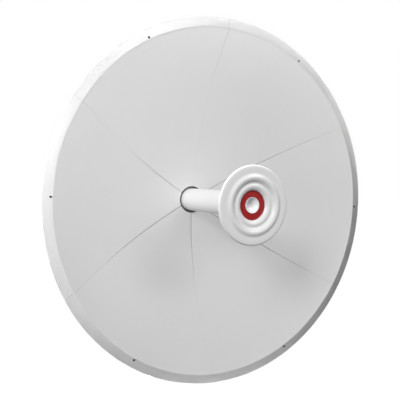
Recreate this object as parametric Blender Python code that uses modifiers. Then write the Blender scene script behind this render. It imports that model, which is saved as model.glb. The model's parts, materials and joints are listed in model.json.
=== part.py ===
"""Microwave dish antenna: a 650 mm reflector of six pressed petals with a rear-fed splash disc.

The dish looks along -Y with +Z up. The origin is on the flat back face of the mast plate.
Dish pieces are drawn in the dish frame: x to the right, y up and z forward from the vertex.
"""

import math

import bmesh
import bpy
from mathutils import Matrix, Vector

# Driving dimensions in metres
GAP = 0.0003
SHEET = 0.0015
PETALS = 6
RIM_R = 0.325
BOWL_R = 0.3077
BOWL_DEPTH = 0.1088
RIM_SLOPE = 0.0031
LIP_DEPTH = 0.0075
HOLE_R = 0.0254
TUBE_R = 0.022
TUBE_WALL = 0.0025
SLOT_LENGTH = 0.0056
SLOT_WIDTH = 0.0025
SLOT_R = 0.3117
HUB_R = 0.095
HUB_BACK = 0.030
HUB_WEB = 0.006
HUB_CHAMFER = 0.0015
BOSS_R = 0.062
BOSS_FOOT = 0.004
SEAM_START_R = 0.100
DISC_R = 0.0677
DISC_Z = 0.212
DISC_EDGE = 0.0035
DISC_WEB = 0.003
BAND_RISE = 0.0065
BAND_SPAN = 0.5
RIDGE_1_AT = 0.68
RIDGE_1_RISE = 0.0040
RIDGE_2_AT = 0.45
RIDGE_2_RISE = 0.0048
RIDGE_WIDTH = 0.075
RING_OUTER_R = 0.0248
RING_INNER_R = 0.0138
RING_SINK = 0.0046
RING_THICK = 0.002
CONE_LENGTH = 0.045
CONE_R = 0.050
PLUG_LENGTH = 0.012
CAP_PROUD = 0.0008
CAP_HOLLOW = 0.0022
SPLICE_R = 0.285
SPLICE_LENGTH = 0.030
SPLICE_WALL = 0.002
SPLICE_LAP = 0.005
BLOCK_SIDE = 0.068
BLOCK_DEPTH = 0.060
BLOCK_FLANGE = 0.005
BLOCK_FLANGE_R = 0.041
BLOCK_CORNER = 0.008
PORT_X = 0.017
PORT_BEHIND = 0.065
YOKE_SHEET = 0.003
YOKE_WIDTH = 0.120
YOKE_HEIGHT = 0.120
YOKE_EAR = 0.083
YOKE_HOLE_R = 0.044
MAST_SHEET = 0.005
MAST_HEIGHT = 0.130
MAST_ARM = 0.095
BEND_R = 0.004
CORNER_R = 0.038
PIVOT_BEHIND = 0.085
PIVOT_DROP = 0.030
LOCK_RISE = 0.020
LOCK_SWING = math.radians(18)
BOLT_SLOT_WIDTH = 0.009
CLAMP_SLOT_LENGTH = 0.026
CLAMP_X = 0.034
CLAMP_Z = 0.045
VERTEX_Y = -0.150

FOCAL = BOWL_R**2 / (4 * BOWL_DEPTH)
PETAL_ANGLE = 2 * math.pi / PETALS
PETAL_STEPS = 12
ROUND_STEPS = 48
DISC_FLOOR = DISC_Z - RING_SINK - RING_THICK - GAP
DISC_BACK = DISC_FLOOR - DISC_WEB


def clear_scene():
    for obj in list(bpy.data.objects):
        bpy.data.objects.remove(obj, do_unlink=True)


def new_collection(name):
    collection = bpy.data.collections.new(name)
    bpy.context.scene.collection.children.link(collection)
    return collection


clear_scene()
PARTS = new_collection("microwave_dish_antenna")
CUTTERS = new_collection("cutters")
DISH = bpy.data.objects.new("dish_axis", None)
PARTS.objects.link(DISH)
DISH.location = (0, VERTEX_Y, 0)
DISH.rotation_euler = (math.pi / 2, 0, 0)


def material(name, colour, roughness, metallic=0.0):
    made = bpy.data.materials.new(name)
    made.use_nodes = True
    shader = made.node_tree.nodes["Principled BSDF"]
    shader.inputs["Base Color"].default_value = (*colour, 1)
    shader.inputs["Roughness"].default_value = roughness
    shader.inputs["Metallic"].default_value = metallic
    return made


def add_object(name, mesh, look=None, parent=DISH):
    """Link a mesh as a part, or as a cutter where it has no material."""
    obj = bpy.data.objects.new(name, mesh)
    obj.parent = parent
    if look:
        PARTS.objects.link(obj)
        if not mesh.materials:
            mesh.materials.append(look)
    else:
        CUTTERS.objects.link(obj)
        obj.hide_render = True
        obj.display_type = "WIRE"
    return obj


def mesh_from(bm, name):
    bmesh.ops.recalc_face_normals(bm, faces=bm.faces)
    mesh = bpy.data.meshes.new(name)
    bm.to_mesh(mesh)
    bm.free()
    mesh.shade_smooth()
    mesh.set_sharp_from_angle(angle=math.radians(35))
    return mesh


def box_mesh(name, low, high):
    bm = bmesh.new()
    size = Vector(high) - Vector(low)
    centre = (Vector(high) + Vector(low)) / 2
    bmesh.ops.create_cube(bm, size=1, matrix=Matrix.Translation(centre) @ Matrix.Diagonal((*size, 1)))
    return mesh_from(bm, name)


def rod_mesh(name, radius, low_z, high_z, steps=ROUND_STEPS):
    bm = bmesh.new()
    middle = Matrix.Translation((0, 0, (low_z + high_z) / 2))
    bmesh.ops.create_cone(
        bm,
        cap_ends=True,
        segments=steps,
        radius1=radius,
        radius2=radius,
        depth=high_z - low_z,
        matrix=middle,
    )
    return mesh_from(bm, name)


def prism_mesh(name, outline, low, high, to_place):
    """A flat outline in x and y, extruded from low to high along z and then placed."""
    bm = bmesh.new()
    face = bm.faces.new([bm.verts.new((x, y, low)) for x, y in outline])
    risen = bmesh.ops.extrude_face_region(bm, geom=[face])
    top = [item for item in risen["geom"] if isinstance(item, bmesh.types.BMVert)]
    bmesh.ops.translate(bm, verts=top, vec=(0, 0, high - low))
    bmesh.ops.transform(bm, matrix=to_place, verts=bm.verts)
    return mesh_from(bm, name)


def arc(centre, radius, start, end, steps):
    """Points on an arc, both ends included."""
    angles = [start + (end - start) * i / steps for i in range(steps + 1)]
    return [(centre[0] + radius * math.cos(a), centre[1] + radius * math.sin(a)) for a in angles]


def straight_slot(length, width):
    """The outline of a slot along x with round ends."""
    half = (length - width) / 2
    right = arc((half, 0), width / 2, -math.pi / 2, math.pi / 2, 6)
    left = arc((-half, 0), width / 2, math.pi / 2, 3 * math.pi / 2, 6)
    return right + left


def curved_slot(radius, swing, width):
    """The outline of a slot on an arc about the origin, centred on +y, with round ends."""
    top = math.pi / 2
    outer = arc((0, 0), radius + width / 2, top - swing, top + swing, 10)
    left_end = (radius * math.cos(top + swing), radius * math.sin(top + swing))
    right_end = (radius * math.cos(top - swing), radius * math.sin(top - swing))
    left_cap = arc(left_end, width / 2, top + swing, top + swing + math.pi, 6)[1:-1]
    inner = arc((0, 0), radius - width / 2, top + swing, top - swing, 10)
    right_cap = arc(right_end, width / 2, top - swing - math.pi, top - swing, 6)[1:-1]
    return outer + left_cap + inner + right_cap


def boolean(obj, other, operation="DIFFERENCE"):
    modifier = obj.modifiers.new(other.name, "BOOLEAN")
    modifier.operation = operation
    modifier.solver = "EXACT"
    modifier.object = other


def turned(name, profile, look, parent=DISH, steps=ROUND_STEPS, open_ends=False):
    """A turned piece: the profile of radius and z runs down its outer side, then up its inner side."""
    mesh = bpy.data.meshes.new(name)
    count = len(profile)
    edges = [(i, i + 1) for i in range(count - 1)]
    if not open_ends:
        edges.append((count - 1, 0))
    mesh.from_pydata([(r, 0, z) for r, z in profile], edges, [])
    obj = add_object(name, mesh, look, parent)
    screw = obj.modifiers.new("turn", "SCREW")
    screw.axis = "Z"
    screw.angle = 2 * math.pi
    screw.steps = steps
    screw.render_steps = steps
    screw.use_merge_vertices = True
    screw.merge_threshold = 0.00001
    screw.use_smooth_shade = True
    return obj


def bowl_z(radius, behind=0.0):
    """Height of the reflecting surface above its vertex, or of a surface that lies behind it."""
    slope = radius / (2 * FOCAL)
    return radius**2 / (4 * FOCAL) - behind * math.sqrt(1 + slope**2)


def spaced(first, last, steps):
    return [first + (last - first) * i / steps for i in range(steps + 1)]


def petal_mesh(look):
    """One pressed petal centred on +y: bowl, rim flange, and edges turned back at the rim and seams."""
    radii = spaced(HOLE_R, SEAM_START_R, 4) + spaced(SEAM_START_R, BOWL_R, 10)[1:]
    profile = [(r, bowl_z(r)) for r in radii] + [(RIM_R, BOWL_DEPTH - RIM_SLOPE)]
    bm = bmesh.new()
    start = Matrix.Rotation((math.pi - PETAL_ANGLE) / 2, 4, "Z")
    line = [bm.verts.new(start @ Vector((r, 0, z))) for r, z in profile]
    edges = [bm.edges.new(pair) for pair in zip(line, line[1:])]
    bmesh.ops.spin(
        bm, geom=line + edges, cent=(0, 0, 0), axis=(0, 0, 1), angle=PETAL_ANGLE, steps=PETAL_STEPS
    )
    for side in (1, -1):
        across = Vector((side * math.cos(PETAL_ANGLE / 2), -math.sin(PETAL_ANGLE / 2), 0))
        bmesh.ops.bisect_plane(
            bm,
            geom=bm.verts[:] + bm.edges[:] + bm.faces[:],
            plane_co=-across * GAP / 2,
            plane_no=across,
            clear_outer=True,
        )
    nearest = SEAM_START_R - GAP
    turned_edges = [
        e for e in bm.edges if e.is_boundary and min(v.co.xy.length for v in e.verts) > nearest
    ]
    folded = bmesh.ops.extrude_edge_only(bm, edges=turned_edges)
    ends = [item for item in folded["geom"] if isinstance(item, bmesh.types.BMVert)]
    bmesh.ops.translate(bm, verts=ends, vec=(0, 0, -LIP_DEPTH))
    bmesh.ops.recalc_face_normals(bm, faces=bm.faces)
    bowl_face = min(bm.faces, key=lambda f: f.calc_center_median().xy.length)
    if bowl_face.normal.z < 0:
        bmesh.ops.reverse_faces(bm, faces=bm.faces)
    mesh = bpy.data.meshes.new("petal")
    bm.to_mesh(mesh)
    bm.free()
    blank = add_object("petal_blank", mesh)
    solidify = blank.modifiers.new("sheet", "SOLIDIFY")
    solidify.thickness = SHEET
    solidify.offset = -1
    solidify.use_even_offset = True
    to_slot = Matrix.Translation((0, SLOT_R, BOWL_DEPTH)) @ Matrix.Rotation(math.pi / 2, 4, "Z")
    slot = straight_slot(SLOT_LENGTH, SLOT_WIDTH)
    cutter = add_object("petal_slot", prism_mesh("petal_slot", slot, -LIP_DEPTH, LIP_DEPTH, to_slot))
    boolean(blank, cutter)
    bpy.context.view_layer.update()
    graph = bpy.context.evaluated_depsgraph_get()
    finished = bpy.data.meshes.new_from_object(blank.evaluated_get(graph))
    for helper in (blank, cutter):
        bpy.data.objects.remove(helper, do_unlink=True)
    finished.name = "petal"
    finished.shade_smooth()
    finished.set_sharp_from_angle(angle=math.radians(30))
    finished.materials.append(look)
    return finished


def build_petals():
    """Petal 1 lies just right of the top seam as seen from the front, and the rest follow clockwise."""
    look = material("petal_white", (0.83, 0.83, 0.83), 0.45)
    mesh = petal_mesh(look)
    for i in range(PETALS):
        petal = add_object(f"petal_{i + 1}", mesh, look)
        petal.rotation_euler = (0, 0, -PETAL_ANGLE * (i + 0.5))


def build_rim_splices():
    """A folded channel over both seam flanges near the rim, one behind each seam."""
    look = material("splice_zinc", (0.62, 0.63, 0.65), 0.4, 0.9)
    inner = 2 * SHEET + 3 * GAP
    outer = inner + 2 * SPLICE_WALL
    tilt = math.atan(SPLICE_R / (2 * FOCAL))
    base = LIP_DEPTH * math.cos(tilt) + 2 * GAP
    outline = [
        (-outer / 2, SPLICE_LAP - base),
        (-outer / 2, -base - SPLICE_WALL),
        (outer / 2, -base - SPLICE_WALL),
        (outer / 2, SPLICE_LAP - base),
        (inner / 2, SPLICE_LAP - base),
        (inner / 2, -base),
        (-inner / 2, -base),
        (-inner / 2, SPLICE_LAP - base),
    ]
    half = SPLICE_LENGTH / 2
    lay = Matrix.Translation((0, SPLICE_R, bowl_z(SPLICE_R))) @ Matrix.Rotation(
        math.pi / 2 + tilt, 4, "X"
    )
    mesh = prism_mesh("rim_splice", outline, -half, half, lay)
    for i in range(PETALS):
        splice = add_object(f"rim_splice_{i + 1}", mesh, look)
        splice.rotation_euler = (0, 0, -PETAL_ANGLE * i)


def build_hub():
    """A dished round casting with a deep bored boss; the petals seat on its front."""
    look = material("hub_aluminium", (0.66, 0.67, 0.68), 0.5, 0.8)
    bore_r = TUBE_R + GAP
    behind = SHEET + GAP
    front = [(r, bowl_z(r, behind)) for r in spaced(HUB_R, bore_r, 4)]
    back = [
        (bore_r, -HUB_BACK),
        (BOSS_R - HUB_CHAMFER, -HUB_BACK),
        (BOSS_R, -HUB_BACK + HUB_CHAMFER),
        (BOSS_R, bowl_z(BOSS_R, behind + HUB_WEB) - BOSS_FOOT),
        (BOSS_R + BOSS_FOOT, bowl_z(BOSS_R + BOSS_FOOT, behind + HUB_WEB)),
        (HUB_R - HUB_CHAMFER, bowl_z(HUB_R, behind + HUB_WEB)),
        (HUB_R, bowl_z(HUB_R, behind + HUB_WEB) + HUB_CHAMFER),
    ]
    turned("hub_casting", list(reversed(front + back)), look)


def build_gasket():
    look = material("gasket_rubber", (0.05, 0.05, 0.055), 0.7)
    outer = HOLE_R - GAP
    inner = TUBE_R + GAP
    face = bowl_z(HOLE_R) - SHEET / 4
    low = bowl_z(HOLE_R, SHEET)
    turned("feed_gasket", [(outer, face), (outer, low), (inner, low), (inner, face)], look)


def build_tube():
    look = material("feed_white", (0.86, 0.86, 0.86), 0.4)
    front = DISC_Z - CONE_LENGTH - GAP
    bore = TUBE_R - TUBE_WALL
    profile = [(TUBE_R, front), (TUBE_R, -HUB_BACK), (bore, -HUB_BACK), (bore, front)]
    turned("feed_tube", profile, look)


def build_cone():
    """The flare behind the disc, with the plug that seats in the tube's bore."""
    look = material("cone_white", (0.86, 0.86, 0.86), 0.4)
    rear = DISC_Z - CONE_LENGTH
    face = DISC_BACK - GAP
    plug_r = TUBE_R - TUBE_WALL - GAP
    flare = []
    for turn in spaced(0, math.pi / 2, 8):
        radius = TUBE_R + (CONE_R - TUBE_R) * (1 - math.cos(turn))
        flare.append((radius, rear + (face - rear) * math.sin(turn)))
    profile = [(0, face)] + flare[::-1]
    profile += [(plug_r, rear), (plug_r, rear - PLUG_LENGTH), (0, rear - PLUG_LENGTH)]
    turned("feed_cone", profile, look, open_ends=True)


def disc_front(radius):
    """Height of the disc's face above its edge plane: a dished band, two ridges and a funnel."""
    share = radius / DISC_R
    outward = min(1, (share - RING_OUTER_R / DISC_R) / BAND_SPAN)
    floor = BAND_RISE * math.sin(outward * math.pi / 2) - RING_SINK
    ridge_1 = RIDGE_1_RISE * math.exp(-(((share - RIDGE_1_AT) / RIDGE_WIDTH) ** 2))
    ridge_2 = RIDGE_2_RISE * math.exp(-(((share - RIDGE_2_AT) / RIDGE_WIDTH) ** 2))
    return floor + ridge_1 + ridge_2


def build_disc():
    look = material("disc_white", (0.86, 0.86, 0.86), 0.4)
    recess = RING_OUTER_R + GAP
    edge = DISC_R - DISC_EDGE
    front = [(r, DISC_Z + disc_front(r)) for r in spaced(recess, edge - DISC_EDGE, 20)]
    crown = arc((edge, DISC_Z), DISC_EDGE, math.pi / 2, -math.pi / 2, 6)
    back = [(CONE_R, DISC_BACK), (0, DISC_BACK), (0, DISC_FLOOR), (recess, DISC_FLOOR)]
    turned("splash_disc", crown + back + front, look)


def build_red_ring():
    look = material("ring_red", (0.35, 0.014, 0.018), 0.45)
    face = DISC_Z - RING_SINK
    low = face - RING_THICK
    profile = [(RING_OUTER_R, face), (RING_OUTER_R, low), (RING_INNER_R, low), (RING_INNER_R, face)]
    turned("red_ring", profile, look)


def build_cap():
    """The white cap in the ring's bore, with a round hollow in its face."""
    look = material("cap_white", (0.86, 0.86, 0.86), 0.4)
    outer = RING_INNER_R - GAP
    low = DISC_FLOOR + GAP
    face = DISC_Z - RING_SINK + CAP_PROUD
    bowl = [(outer * s, face - CAP_HOLLOW * (1 - s**2)) for s in spaced(0, 0.93, 6)]
    profile = bowl + [(outer, face), (outer, low), (0, low)]
    turned("centre_cap", profile, look, open_ends=True)


def build_rear_block():
    """The rear housing: a round flange on the hub's boss and a square body behind it."""
    look = material("block_grey", (0.60, 0.61, 0.62), 0.45, 0.6)
    front = -HUB_BACK - GAP
    flange_back = front - BLOCK_FLANGE
    back = front - BLOCK_DEPTH
    half = BLOCK_SIDE / 2
    bm = bmesh.new()
    body_front = flange_back + BLOCK_FLANGE / 5
    centre = (0, 0, (body_front + back) / 2)
    size = (BLOCK_SIDE, BLOCK_SIDE, body_front - back)
    bmesh.ops.create_cube(bm, size=1, matrix=Matrix.Translation(centre) @ Matrix.Diagonal((*size, 1)))
    corners = [e for e in bm.edges if all(abs(abs(v.co.x) - half) < GAP for v in e.verts)]
    corners = [e for e in corners if abs(e.verts[0].co.z - e.verts[1].co.z) > half / 2]
    bmesh.ops.bevel(
        bm, geom=corners, offset=BLOCK_CORNER, segments=4, profile=0.5, affect="EDGES", material=-1
    )
    block = add_object("feed_rear_block", mesh_from(bm, "feed_rear_block"), look)
    flange = rod_mesh("block_flange", BLOCK_FLANGE_R, flange_back, front)
    boolean(block, add_object("block_flange", flange), "UNION")


def build_ports():
    """Coaxial sockets on the block's underside: a seat, a barrel and an open mouth."""
    look = material("port_nickel", (0.72, 0.70, 0.66), 0.3, 1.0)
    seat_r = 0.0125
    barrel_r = 0.0079
    bore_r = 0.0062
    seat = 0.003
    length = 0.018
    mouth = 0.009
    profile = [
        (0, -GAP),
        (seat_r, -GAP),
        (seat_r, -seat),
        (barrel_r, -seat),
        (barrel_r, -length),
        (bore_r, -length),
        (bore_r, -length + mouth),
        (0, -length + mouth),
    ]
    for i, side in enumerate((-1, 1)):
        port = turned(f"coax_port_{i + 1}", profile, look, steps=24, open_ends=True)
        port.location = (side * PORT_X, -BLOCK_SIDE / 2, -PORT_BEHIND)
        port.rotation_euler = (-math.pi / 2, 0, 0)


def folded_yoke(name, width, height, arm, thickness, look, parent):
    """A plate folded to a U: its base lies in z = 0 facing -z, and its arms rise along +z."""
    half = (width - thickness) / 2
    level = thickness / 2
    profile = [(-half, arm), (-half, level), (half, level), (half, arm)]
    bm = bmesh.new()
    line = [bm.verts.new((x, -height / 2, z)) for x, z in profile]
    edges = [bm.edges.new(pair) for pair in zip(line, line[1:])]
    raised = bmesh.ops.extrude_edge_only(bm, edges=edges)
    tops = [item for item in raised["geom"] if isinstance(item, bmesh.types.BMVert)]
    bmesh.ops.translate(bm, verts=tops, vec=(0, height, 0))
    corners = [v for v in bm.verts if v.co.z > arm - GAP]
    bmesh.ops.bevel(
        bm, geom=corners, offset=CORNER_R, segments=6, profile=0.5, affect="VERTICES", material=-1
    )
    folds = [e for e in bm.edges if not e.is_boundary]
    bmesh.ops.bevel(bm, geom=folds, offset=BEND_R, segments=3, profile=0.5, affect="EDGES", material=-1)
    mesh = mesh_from(bm, name)
    yoke = add_object(name, mesh, look, parent)
    solidify = yoke.modifiers.new("plate", "SOLIDIFY")
    solidify.thickness = thickness
    solidify.offset = 0
    solidify.use_even_offset = True
    return yoke


def build_dish_yoke():
    look = material("dish_yoke_galvanised", (0.58, 0.59, 0.61), 0.45, 0.9)
    yoke = folded_yoke("dish_yoke", YOKE_WIDTH, YOKE_HEIGHT, YOKE_EAR, YOKE_SHEET, look, DISH)
    yoke.location = (0, 0, -HUB_BACK - GAP)
    yoke.rotation_euler = (0, math.pi, 0)
    hole = rod_mesh("yoke_hole", YOKE_HOLE_R, -2 * HUB_BACK, 0)
    boolean(yoke, add_object("yoke_hole", hole))


def build_mast_yoke():
    """The folded mast plate: four clamp slots in its base and a curved lock slot through its arms."""
    look = material("mast_yoke_galvanised", (0.58, 0.59, 0.61), 0.45, 0.9)
    width = YOKE_WIDTH + 2 * GAP + 2 * MAST_SHEET
    yoke = folded_yoke("mast_yoke", width, MAST_HEIGHT, MAST_ARM, MAST_SHEET, look, None)
    yoke.rotation_euler = (math.pi / 2, 0, 0)
    slot = straight_slot(CLAMP_SLOT_LENGTH, BOLT_SLOT_WIDTH)
    for x in (-CLAMP_X, CLAMP_X):
        for z in (-CLAMP_Z, CLAMP_Z):
            place = Matrix.Translation((x, 0, z)) @ Matrix.Rotation(math.pi / 2, 4, "X")
            mesh = prism_mesh("clamp_slot", slot, -2 * MAST_SHEET, 2 * MAST_SHEET, place)
            boolean(yoke, add_object("clamp_slot", mesh, parent=None))
    pivot = Matrix.Translation((0, VERTEX_Y + PIVOT_BEHIND, -PIVOT_DROP))
    place = pivot @ Matrix.Rotation(math.pi / 2, 4, "Z") @ Matrix.Rotation(math.pi / 2, 4, "X")
    outline = curved_slot(PIVOT_DROP + LOCK_RISE, LOCK_SWING, BOLT_SLOT_WIDTH)
    lock = prism_mesh("lock_slot", outline, -width, width, place)
    boolean(yoke, add_object("lock_slot", lock, parent=None))


build_petals()
build_rim_splices()
build_hub()
build_gasket()
build_tube()
build_cone()
build_disc()
build_red_ring()
build_cap()
build_rear_block()
build_ports()
build_dish_yoke()
build_mast_yoke()
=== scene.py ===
import json
import math

import bmesh
import bpy
from mathutils import Matrix, Vector

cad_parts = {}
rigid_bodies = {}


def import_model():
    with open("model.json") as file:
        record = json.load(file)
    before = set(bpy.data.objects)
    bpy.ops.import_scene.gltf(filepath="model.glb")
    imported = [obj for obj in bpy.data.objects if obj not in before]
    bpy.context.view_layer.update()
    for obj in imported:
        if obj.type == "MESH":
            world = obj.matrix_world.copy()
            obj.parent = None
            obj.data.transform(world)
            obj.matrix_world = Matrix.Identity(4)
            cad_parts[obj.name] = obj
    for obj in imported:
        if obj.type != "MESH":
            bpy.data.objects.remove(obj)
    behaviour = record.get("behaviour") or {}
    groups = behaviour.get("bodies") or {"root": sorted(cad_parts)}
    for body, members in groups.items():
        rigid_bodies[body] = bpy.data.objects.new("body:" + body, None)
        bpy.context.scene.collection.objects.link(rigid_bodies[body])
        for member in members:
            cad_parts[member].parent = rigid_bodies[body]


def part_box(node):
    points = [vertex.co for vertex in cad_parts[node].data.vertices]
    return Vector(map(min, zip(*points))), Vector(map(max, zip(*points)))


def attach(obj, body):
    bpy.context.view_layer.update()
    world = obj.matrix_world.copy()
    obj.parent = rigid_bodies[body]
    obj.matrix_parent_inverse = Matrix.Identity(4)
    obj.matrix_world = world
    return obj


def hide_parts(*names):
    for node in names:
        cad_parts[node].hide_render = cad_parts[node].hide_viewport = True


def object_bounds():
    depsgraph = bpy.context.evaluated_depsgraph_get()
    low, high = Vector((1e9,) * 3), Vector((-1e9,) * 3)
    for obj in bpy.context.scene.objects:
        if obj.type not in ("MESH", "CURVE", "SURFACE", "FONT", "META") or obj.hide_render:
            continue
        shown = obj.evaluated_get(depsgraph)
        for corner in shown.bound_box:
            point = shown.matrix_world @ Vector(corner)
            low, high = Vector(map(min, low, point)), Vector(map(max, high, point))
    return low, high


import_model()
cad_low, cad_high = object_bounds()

# Mast yoke
# Steel plate, 5 mm thick, folded to a U and hot-dip galvanised. Four slots in its base take the
# mast clamps, and its arms carry the dish yoke on a pivot bolt and on a lock bolt in a curved slot.
mast_low, mast_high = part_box("mast_yoke")
mast_sheet = 0.005
yoke_corner_r = 0.038
bend_r = 0.004
edge_break = 0.0005
clamp_x = 0.034
clamp_z = 0.045
clamp_slot_length = 0.026
bolt_slot_width = 0.009
pivot_y = -0.065
pivot_z = -0.030
lock_r = 0.050
lock_swing = math.radians(18)
slot_end_steps = 12
slot_curve_steps = 20
broken_angle = math.radians(50)


def arc(centre, radius, start, end, steps):
    """Points on an arc, both ends included."""
    angles = [start + (end - start) * i / steps for i in range(steps + 1)]
    return [(centre[0] + radius * math.cos(a), centre[1] + radius * math.sin(a)) for a in angles]


def straight_slot(length, width):
    """The outline of a slot along x with round ends."""
    half = (length - width) / 2
    right = arc((half, 0), width / 2, -math.pi / 2, math.pi / 2, slot_end_steps)
    left = arc((-half, 0), width / 2, math.pi / 2, 3 * math.pi / 2, slot_end_steps)
    return right + left


def curved_slot(radius, swing, width):
    """The outline of a slot on an arc about the origin, centred on +y, with round ends."""
    top = math.pi / 2
    outer = arc((0, 0), radius + width / 2, top - swing, top + swing, slot_curve_steps)
    left_end = (radius * math.cos(top + swing), radius * math.sin(top + swing))
    right_end = (radius * math.cos(top - swing), radius * math.sin(top - swing))
    left_cap = arc(left_end, width / 2, top + swing, top + swing + math.pi, slot_end_steps)[1:-1]
    inner = arc((0, 0), radius - width / 2, top + swing, top - swing, slot_curve_steps)
    right_cap = arc(right_end, width / 2, top - swing - math.pi, top - swing, slot_end_steps)[1:-1]
    return outer + left_cap + inner + right_cap


def prism(outline, low, high):
    """A flat outline in x and y, extruded from low to high along z."""
    bm = bmesh.new()
    face = bm.faces.new([bm.verts.new((x, y, low)) for x, y in outline])
    risen = bmesh.ops.extrude_face_region(bm, geom=[face])
    top = [item for item in risen["geom"] if isinstance(item, bmesh.types.BMVert)]
    bmesh.ops.translate(bm, verts=top, vec=(0, 0, high - low))
    bmesh.ops.recalc_face_normals(bm, faces=bm.faces)
    return bm


def folded_plate(low, high, thickness, corner_r):
    """The middle surface of a U, its arms along +z, for a box whose y is the length of the arms."""
    width, arm, height = (high[i] - low[i] for i in range(3))
    half = (width - thickness) / 2
    outline = [(-half, arm), (-half, thickness / 2), (half, thickness / 2), (half, arm)]
    bm = bmesh.new()
    line = [bm.verts.new((x, -height / 2, z)) for x, z in outline]
    edges = [bm.edges.new(pair) for pair in zip(line, line[1:])]
    raised = bmesh.ops.extrude_edge_only(bm, edges=edges)
    tops = [item for item in raised["geom"] if isinstance(item, bmesh.types.BMVert)]
    bmesh.ops.translate(bm, verts=tops, vec=(0, height, 0))
    corners = [v for v in bm.verts if v.co.z > arm - edge_break]
    bmesh.ops.bevel(
        bm, geom=corners, offset=corner_r, segments=14, profile=0.5, affect="VERTICES", material=-1
    )
    folds = [e for e in bm.edges if not e.is_boundary]
    bmesh.ops.bevel(bm, geom=folds, offset=bend_r, segments=6, profile=0.5, affect="EDGES", material=-1)
    bmesh.ops.recalc_face_normals(bm, faces=bm.faces)
    return bm


def with_modifiers(bm, thickness=0.0, offset=0.0, cutters=(), joined=(), broken=0.0):
    """The bmesh with a sheet's thickness, shapes cut out or joined on, and its edges broken."""
    operations = ["DIFFERENCE"] * len(cutters) + ["UNION"] * len(joined)
    blanks = []
    for source in (bm, *cutters, *joined):
        mesh = bpy.data.meshes.new("blank")
        source.to_mesh(mesh)
        source.free()
        blank = bpy.data.objects.new("blank", mesh)
        bpy.context.scene.collection.objects.link(blank)
        blanks.append(blank)
    body, *tools = blanks
    if thickness:
        solidify = body.modifiers.new("sheet", "SOLIDIFY")
        solidify.thickness = thickness
        solidify.offset = offset
        solidify.use_even_offset = True
    for operation, tool in zip(operations, tools):
        boolean = body.modifiers.new("shape", "BOOLEAN")
        boolean.operation = operation
        boolean.solver = "EXACT"
        boolean.object = tool
    if broken:
        bevel = body.modifiers.new("edges", "BEVEL")
        bevel.width = broken
        bevel.segments = 2
        bevel.limit_method = "ANGLE"
        bevel.angle_limit = broken_angle
    bpy.context.view_layer.update()
    ready = body.evaluated_get(bpy.context.evaluated_depsgraph_get())
    result = bmesh.new()
    result.from_mesh(ready.to_mesh())
    ready.to_mesh_clear()
    for blank in blanks:
        bpy.data.objects.remove(blank, do_unlink=True)
    return result


def piece(bm, name, look, slot, *nodes, sharp=40, place=None, flat_sided=False):
    """A finished piece: the mesh in its place, its material and the nodes it stands for. The slot is not
    used.
    """
    if place:
        bmesh.ops.transform(bm, matrix=place, verts=bm.verts)
    mesh = bpy.data.meshes.new(name)
    bm.to_mesh(mesh)
    bm.free()
    mesh.shade_smooth()
    mesh.set_sharp_from_angle(angle=math.radians(sharp))
    mesh.materials.append(look)
    made = bpy.data.objects.new(name, mesh)
    bpy.context.scene.collection.objects.link(made)
    if flat_sided:
        flats = made.modifiers.new("flats", "WEIGHTED_NORMAL")
        flats.keep_sharp = True
    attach(made, "root")
    if nodes:
        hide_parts(*nodes)
    return made


def principled(name, colour, roughness, metallic=0.0):
    """A Principled material, with its node tree and its shader to add to."""
    look = bpy.data.materials.new(name)
    look.use_nodes = True
    shader = look.node_tree.nodes["Principled BSDF"]
    shader.inputs["Base Color"].default_value = (*colour, 1)
    shader.inputs["Roughness"].default_value = roughness
    shader.inputs["Metallic"].default_value = metallic
    return look, look.node_tree, shader


def noise(tree, scale, detail=3.0):
    """Noise on object coordinates, from about 0.3 to 0.7, its scale in waves a metre."""
    where = tree.nodes.new("ShaderNodeTexCoord")
    field = tree.nodes.new("ShaderNodeTexNoise")
    field.inputs["Scale"].default_value = scale
    field.inputs["Detail"].default_value = detail
    tree.links.new(where.outputs["Object"], field.inputs["Vector"])
    return field.outputs["Fac"]


def spread(tree, factor, socket, low, high, start=0.3, end=0.7):
    """Drives a socket from low to high as the factor goes from start to end."""
    remap = tree.nodes.new("ShaderNodeMapRange")
    remap.inputs["From Min"].default_value = start
    remap.inputs["From Max"].default_value = end
    remap.inputs["To Min"].default_value = low
    remap.inputs["To Max"].default_value = high
    tree.links.new(factor, remap.inputs["Value"])
    tree.links.new(remap.outputs["Result"], socket)


def toned(tree, shader, factor, dark, light, start=0.3, end=0.7):
    """A base colour that goes from dark to light with the factor."""
    mix = tree.nodes.new("ShaderNodeMix")
    mix.data_type = "RGBA"
    mix.inputs["A"].default_value = (*dark, 1)
    mix.inputs["B"].default_value = (*light, 1)
    spread(tree, factor, mix.inputs["Factor"], 0, 1, start, end)
    tree.links.new(mix.outputs["Result"], shader.inputs["Base Color"])


def bumped(tree, shader, height, strength, distance):
    """A fine relief from a height field, its depth in metres."""
    bump = tree.nodes.new("ShaderNodeBump")
    bump.inputs["Strength"].default_value = strength
    bump.inputs["Distance"].default_value = distance
    tree.links.new(height, bump.inputs["Height"])
    tree.links.new(bump.outputs["Normal"], shader.inputs["Normal"])


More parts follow.
